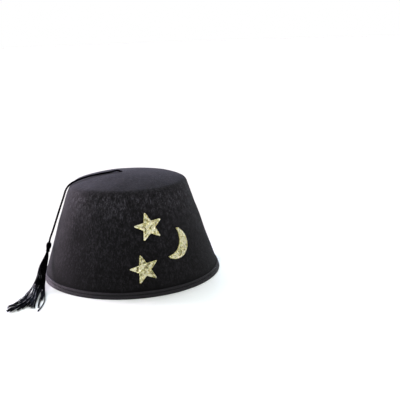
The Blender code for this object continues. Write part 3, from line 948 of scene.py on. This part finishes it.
def makeStitches():
    # each stitch rises out of the groove and dives back, outside and inside
    outside, inside = -(hat["gap"] + hat["tape"]), hat["felt"] + hat["gap"] + hat["tape"]
    seam, pitch = binding["seam"], 2 * math.pi / binding["stitches"]
    span = binding["stitchSpan"]
    share = np.linspace(-span, span, len(binding["stitchGirth"]))
    rise = binding["stitchRise"] * np.cos(share * math.pi / (2 * span)) - binding["stitchSunk"]
    girth = binding["thread"] * np.array(binding["stitchGirth"])
    pile = Pile()
    for face, depth in ((-1, outside), (1, inside)):
        for k in range(binding["stitches"]):
            turns = (k + 0.5 + share) * pitch
            height = seam + binding["stitchLean"] * share
            off = rise - binding["groove"] + binding["stitchClear"]
            radius = wallAt(seam, depth) - face * off
            path = np.stack([radius * np.cos(turns), radius * np.sin(turns), height], 1)
            pile.tube(path, girth, 6, (k * 0.618) % 0.7)
    piece = pile.make("bindingStitches", blackRayon)
    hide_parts("rim_binding")
    return piece


rimBinding = makeBinding()
bindingStitches = makeStitches()
print("edge bound with", binding["stitches"], "stitches a side")

# The appliques: glitter cloth, cut flat and bent to the wall

star = {"tip": 0.0161, "notch": 0.0066, "tipRound": 0.0032, "stepsPerSide": 7}
# bearing and turn in degrees, upWall along the wall from the lower edge, and shine for
# how much brighter or duller than the rest the flakes are painted, as the lamps fall on each
stars = {
    "starUpper": {
        "node": "star_upper", "bearing": -6.9, "upWall": 0.0695, "turn": 28.0, "shine": 0.02,
    },
    "starLower": {
        "node": "star_lower", "bearing": -13.3, "upWall": 0.0281, "turn": 31.0, "shine": -0.12,
    },
}
moon = {
    "node": "crescent_moon", "bearing": 15.5, "upWall": 0.0452, "shine": 0.15,
    "outer": (-0.0058, 0.0040, 0.0163),  # centre across and up, radius
    "inner": (-0.0160, 0.0107, 0.0181),
    "blunt": (0.895, 0.915),  # how much of each arc is left, below and above
    "steps": 41,
    "hornTip": 0.0006,
}
glitter = {
    "thickness": 0.0012,
    # each ring of the cloth: how far it shrinks to its heart, height as a share of the thickness
    "layers": (
        (0.80, 0.0), (0.4, 0.0), (0.03, 0.0), (0.0, 0.10), (0.0, 0.72),
        (0.015, 0.90), (0.05, 1.0), (0.25, 1.06), (0.80, 1.10),
    ),
    "flakesPerSquareMm": 5.5,
    "flakeSize": (0.00028, 0.00055),  # radius
    "flakeHalf": 0.00002,  # half its thickness
    "flakeLift": 0.00006,
    "margin": 0.00016,  # the middle of a flake stays this far from the cloth's edge
    "edgeDrop": 0.00018,  # the cloth is rounded off at its edge
    "edgeWidth": 0.0006,
    "rimWidth": 0.0010,  # flakes near the cut edge are evenly bright: a painted highlight along the edge
    "rimTone": (0.60, 0.25),  # their tone: a fixed part, and a share of their own
    "tilt": 0.42,
    "most": 0.9,  # no flake tilts more
    "overhang": 0.00003,
    "jitter": 0.00008,
    "brightest": 0.86,  # tones above this are the rare colours
    "rareShare": 0.10,
    "grain": 0.00040,  # of the glitter that is set in the cloth itself
    "clothPatch": 0.0022,
    "flakePatch": 0.0029,
    "white": (1.0, 0.985, 0.73),
    "pale": (1.0, 0.965, 0.52),
    "gold": (0.73, 0.66, 0.26),
    "olive": (0.20, 0.20, 0.06),
    "brown": (0.060, 0.048, 0.022),
    "pink": (0.80, 0.56, 0.52),
    "green": (0.42, 0.66, 0.36),
}


def onWall(place, across, up, lift):
    # a place on the wall, measured across and up from a middle as on the flat cloth
    sine, cosine = math.sin(hat["slant"]), math.cos(hat["slant"])
    apex = wallFoot / sine
    left = apex - place["upWall"] - up
    slope = np.hypot(left, across)
    turn = math.radians(place["bearing"]) + np.arctan2(across, left) / sine
    radius = slope * sine + lift * cosine
    height = (apex - slope) * cosine + lift * sine
    return np.stack([radius * np.sin(turn), -radius * np.cos(turn), height], -1)


def starOutline(turn):
    # straight sides between the notches and the rounded tips; each point of an outline has a
    # heart, the place that it shrinks to, which is the middle for all the points of a star
    outline = []
    for k in range(5):
        corners = []
        for part, reach in ((-1, "notch"), (0, "tip"), (1, "notch")):
            angle = math.radians(turn + 72 * k + 36 * part)
            corners.append(np.array((math.cos(angle), math.sin(angle))) * star[reach])
        before, sharp, after = corners
        length = np.linalg.norm(sharp - before)
        share = np.linspace(0, 1 - star["tipRound"] / length, star["stepsPerSide"])[:, None]
        rising = before + (sharp - before) * share
        falling = (after + (sharp - after) * share)[::-1]
        t = np.linspace(0, 1, 6)[1:-1, None]
        bend = (1 - t) ** 2 * rising[-1] + 2 * t * (1 - t) * sharp + t**2 * falling[0]
        outline += [*rising, *bend, *falling[:-1]]
    return np.array(outline), np.zeros((len(outline), 2))


def moonOutline():
    # two arcs between the horns; the hearts run midway between them
    outer, inner = moon["outer"], moon["inner"]
    apart = np.array(inner[:2]) - np.array(outer[:2])
    between = np.linalg.norm(apart)
    back = math.atan2(apart[1], apart[0]) + math.pi

    def halfTurn(radius, other):
        return math.acos((between**2 + radius**2 - other**2) / (2 * between * radius))

    def arc(circle, turns):
        across, up, radius = circle
        return np.stack([across + radius * np.cos(turns), up + radius * np.sin(turns)], 1)

    part = np.linspace(-moon["blunt"][0], moon["blunt"][1], moon["steps"])
    outside = arc(outer, back + part * (math.pi - halfTurn(outer[2], inner[2])))
    inside = arc(inner, back + part * halfTurn(inner[2], outer[2]))
    middle = (outside + inside) / 2
    tips = [unit(middle[i] - middle[j]) * moon["hornTip"] for i, j in ((0, 1), (-1, -2))]
    horns = [middle[0] + tips[0], middle[-1] + tips[1]]
    outline = np.concatenate([[horns[0]], outside, [horns[1]], inside[::-1]])
    hearts = np.concatenate([[middle[0]], middle, [middle[-1]], middle[::-1]])
    return outline, hearts


def holds(outline, spots):
    # which of these spots lie inside the outline
    inside = np.zeros(len(spots), bool)
    for (x1, y1), (x2, y2) in zip(outline, np.roll(outline, -1, 0)):
        crosses = (y1 > spots[:, 1]) != (y2 > spots[:, 1])
        with np.errstate(divide="ignore", invalid="ignore"):
            reach = x1 + (spots[:, 1] - y1) * (x2 - x1) / (y2 - y1)
        inside ^= crosses & (spots[:, 0] < reach)
    return inside


def edgeDistance(outline, spots):
    nearest = np.full(len(spots), 1.0)
    for start, end in zip(outline, np.roll(outline, -1, 0)):
        run = end - start
        share = np.clip((spots - start) @ run / max(run @ run, 1e-12), 0, 1)
        nearest = np.minimum(nearest, np.linalg.norm(spots - start - share[:, None] * run, axis=1))
    return nearest


def glitterRamp(finish, tone, stops):
    return finish.ramp(tone, *((place, glitter[colour]) for place, colour in stops))


def clothFinish():
    # the cloth under the flakes, itself set with fine glitter
    finish = Finish("goldCloth", metallic=0.35, specularIorLevel=0.4)
    place = finish.place()
    cell = finish.cells(place, glitter["grain"], "Color")
    pick = finish.node("ShaderNodeSeparateColor", {}, {0: cell}, "Red")
    patch = finish.noise(place, glitter["clothPatch"], 2.0)
    stops = ((0.0, "brown"), (0.30, "olive"), (0.62, "gold"), (1.0, "pale"))
    finish.feed(baseColor=glitterRamp(finish, pick * 0.75 + patch * 0.3, stops))
    finish.feed(roughness=finish.limits(pick, 0.0, 1.0, 0.30, 0.60))
    finish.relief(pick * 0.7 + finish.cells(place, glitter["grain"]) * 0.6, 0.00012, 0.9)
    return finish


def flakeFinish():
    finish = Finish("goldGlitter", metallic=0.42, specularIorLevel=0.6)
    tone = finish.node("ShaderNodeAttribute", {"attribute_name": "tone"}, out="Fac")
    patch = finish.noise(finish.place(), glitter["flakePatch"], 2.0, 0.6)
    patch = finish.limits(patch, 0.42, 0.58)
    stops = ((0.06, "brown"), (0.20, "olive"), (0.36, "gold"), (0.48, "pale"), (0.66, "white"))
    colour = glitterRamp(finish, tone * 0.42 + patch * 0.58, stops)
    rare = glitterRamp(finish, tone, ((0.88, "pink"), (0.92, "green"), (0.97, "white")))
    most = glitter["brightest"]
    finish.feed(baseColor=finish.mix(finish.limits(tone, most, most + 0.01), colour, rare))
    finish.feed(roughness=finish.limits(patch, 0.0, 1.0, 0.40, 0.26))
    finish.relief(finish.noise(finish.place(), 0.0002, 1.0), 0.00002, 0.4)
    return finish


goldCloth, goldGlitter = clothFinish(), flakeFinish()


def makePlate(name, place, outline, hearts):
    lifts = [hat["gap"] + share * glitter["thickness"] for _, share in glitter["layers"]]
    rings = []
    for (shrink, _), lift in zip(glitter["layers"], lifts):
        flat = outline + (hearts - outline) * shrink
        rings.append(onWall(place, flat[:, 0], flat[:, 1], lift))
    rings = np.array(rings)
    pile = Pile()
    if np.ptp(hearts, axis=0).max() == 0:  # the rings close on one point
        ends = [onWall(place, 0.0, 0.0, lift) for lift in (lifts[0], lifts[-1])]
        pile.skin(rings, ends[0], ends[1], tone=0.5)
    else:
        pile.skin(rings, tone=0.5)
        closeMoon(pile, rings)
    piece = pile.make(name, goldCloth)
    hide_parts(place["node"])
    return piece


def closeMoon(pile, rings):
    # the first and last rings are narrow crescents, closed by faces from arc to arc
    many, sides = rings.shape[:2]
    half = (sides - 2) // 2
    for ring, backward in ((0, True), (many - 1, False)):
        base = ring * sides
        outside = [base + 1 + k for k in range(half)]
        inside = [base + sides - 1 - k for k in range(half)]
        faces = [(base, outside[0], inside[0])]
        faces += [(outside[k], outside[k + 1], inside[k + 1], inside[k]) for k in range(half - 1)]
        faces.append((outside[-1], base + 1 + half, inside[-1]))
        for face in faces:
            pile.faces.append(face[::-1] if backward else face)
            pile.spots.append(np.zeros((len(face), 2)))


def strewFlakes(name, place, outline, seed):
    dice = np.random.default_rng(seed)
    low, high = outline.min(0), outline.max(0)
    area = float(np.prod(high - low))
    count = int(area * 1e6 * glitter["flakesPerSquareMm"])
    spots = dice.uniform(low, high, (count, 2))
    spots = spots[holds(outline, spots)]
    rim = edgeDistance(outline, spots)
    keep = rim > glitter["margin"]
    spots, rim = spots[keep], rim[keep]
    corners = np.arange(6) * math.pi / 3
    pile = Pile()
    surface, half = hat["gap"] + glitter["thickness"], glitter["flakeHalf"]
    for spot, away in zip(spots, rim):
        size = min(dice.uniform(*glitter["flakeSize"]), away + glitter["overhang"])
        turn = dice.uniform(0, math.pi)
        lean = np.clip(dice.normal(0, glitter["tilt"], 2), -glitter["most"], glitter["most"])
        flat = size * np.stack([np.cos(corners + turn), np.sin(corners + turn)], 1)
        drop = glitter["edgeDrop"] * max(0.0, 1 - away / glitter["edgeWidth"])
        lift = surface + glitter["flakeLift"] - drop + flat @ lean
        lift = lift + dice.uniform(0, glitter["jitter"])
        across, up = spot[0] + flat[:, 0], spot[1] + flat[:, 1]
        rings = np.stack([onWall(place, across, up, lift + step) for step in (-half, half)])
        tone = dice.beta(1.6, 1.5) * glitter["brightest"]
        # painted highlight: flakes along the cut edge are made pale
        if away < glitter["rimWidth"]:
            tone = glitter["rimTone"][0] + glitter["rimTone"][1] * tone
        # painted light and shade: each piece's flakes are made brighter or duller as a whole
        tone = min(max(tone + place["shine"], 0.0), glitter["brightest"])
        if dice.random() < glitter["rareShare"]:
            tone = dice.uniform(glitter["brightest"], 1.0)
        pile.skin(rings, rings[0].mean(0), rings[1].mean(0), tone=tone)
    piece = pile.make(name, goldGlitter, smooth=False)
    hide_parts(place["node"])
    return piece


for number, (name, place) in enumerate(stars.items()):
    outline, hearts = starOutline(place["turn"])
    makePlate(name, place, outline, hearts)
    strewFlakes(name + "Glitter", place, outline, 20 + number)
outline, hearts = moonOutline()
makePlate("crescentMoon", moon, outline, hearts)
strewFlakes("crescentMoonGlitter", moon, outline, 30)
print("appliques set with glitter")

# Floor and light

studio = {
    "floorRadius": 8.0,
    "floorSides": 64,
    "dimFloor": (0.66, 0.665, 0.58),
    "paleFloor": (0.90, 0.94, 0.90),
    "palest": (0.6, -0.8, 0),  # it turns pale to the right and toward the camera
    "floorGlow": 0.15,  # the floor glows where it is pale: painted light that fills the hat's shadows
    "sky": (0.16, 0.16, 0.17),
    "horizon": (1.0, 1.0, 1.0),
    "skyFrom": (0.05, 0.22),  # how far up the horizon's white fades into the sky
    "lamps": {  # strength, spread in degrees, colour, and direction: right, toward the camera, up
        "sideLight": (7.8, 40, (0.98, 0.80, 1.00), (-1.0, -0.8, 0.25)),
        "backLight": (2.6, 30, (0.58, 0.66, 1.00), (-0.2, -1.0, 0.45)),
        "overheadLight": (1.95, 40, (0.88, 0.92, 1.00), (0.05, -0.6, 1.0)),
        "leftLight": (0.50, 30, (1.00, 0.94, 0.97), (-1.0, -0.3, 1.0)),
        "rightLight": (0.15, 30, (1.00, 0.50, 0.50), (1.0, 0.0, 0.5)),
        "keyLight": (0.95, 6, (1.00, 1.00, 1.00), (-0.6, 0.9, 1.1)),
    },
}


def makeFloor():
    # dimmer behind the hat, so that thin dark threads show, and painted paler, with a painted
    # glow, where the hat's shadows fall
    finish = Finish("paleFloor", specularIorLevel=0.0, emissionStrength=studio["floorGlow"])
    place = finish.place()
    inputs = {0: place, 1: facing(*studio["palest"])}
    forward = finish.node("ShaderNodeVectorMath", {"operation": "DOT_PRODUCT"}, inputs, 1)
    tone = finish.limits(forward, -0.06, 0.05) * 0.9 + finish.noise(place, 0.35, 2.0) * 0.1
    pale = (0.95, studio["paleFloor"])
    finish.feed(baseColor=finish.ramp(tone, (0.05, studio["dimFloor"]), pale))
    finish.feed(roughness=finish.limits(tone, 0.3, 0.7, 0.85, 0.95))
    # painted light: the pale part of the floor glows
    finish.feed(emissionColor=finish.ramp(tone, (0.05, (0.0, 0.0, 0.0)), pale))
    turns = np.linspace(0, 2 * math.pi, studio["floorSides"], endpoint=False)
    ring = np.stack([np.cos(turns), np.sin(turns), 0 * turns], 1) * studio["floorRadius"]
    mesh = bpy.data.meshes.new("floor")
    mesh.from_pydata(ring.tolist(), [], [list(range(studio["floorSides"]))])
    mesh.materials.append(finish.material)
    floor = bpy.data.objects.new("floor", mesh)
    scene.collection.objects.link(floor)


def makeSky():
    # pale at the horizon and dim above it, so that the lamps give the light its direction
    world = bpy.data.worlds.new("studio")
    scene.world = world
    world.use_nodes = True
    sky = Nodes(world.node_tree)
    height = sky.split(sky.place("Generated"))[2]
    colour = sky.mix(sky.limits(height, *studio["skyFrom"]), studio["horizon"], studio["sky"])
    sky.links.new(colour.socket, sky.nodes["Background"].inputs["Color"])


def makeLamp(name, strength, spread, colour, direction):
    # a far soft light; its direction is set out as the camera sees the hat
    light = bpy.data.lights.new(name, "SUN")
    light.energy = strength
    light.angle = math.radians(spread)
    light.color = colour
    lamp = bpy.data.objects.new(name, light)
    right, toward, up = direction
    lamp.rotation_mode = "QUATERNION"
    lamp.rotation_quaternion = facing(right, -toward, up).to_track_quat("Z", "Y")
    scene.collection.objects.link(lamp)


makeFloor()
makeSky()
for name, lamp in studio["lamps"].items():
    makeLamp(name, *lamp)
scene.view_settings.view_transform = "Standard"
print("lit")
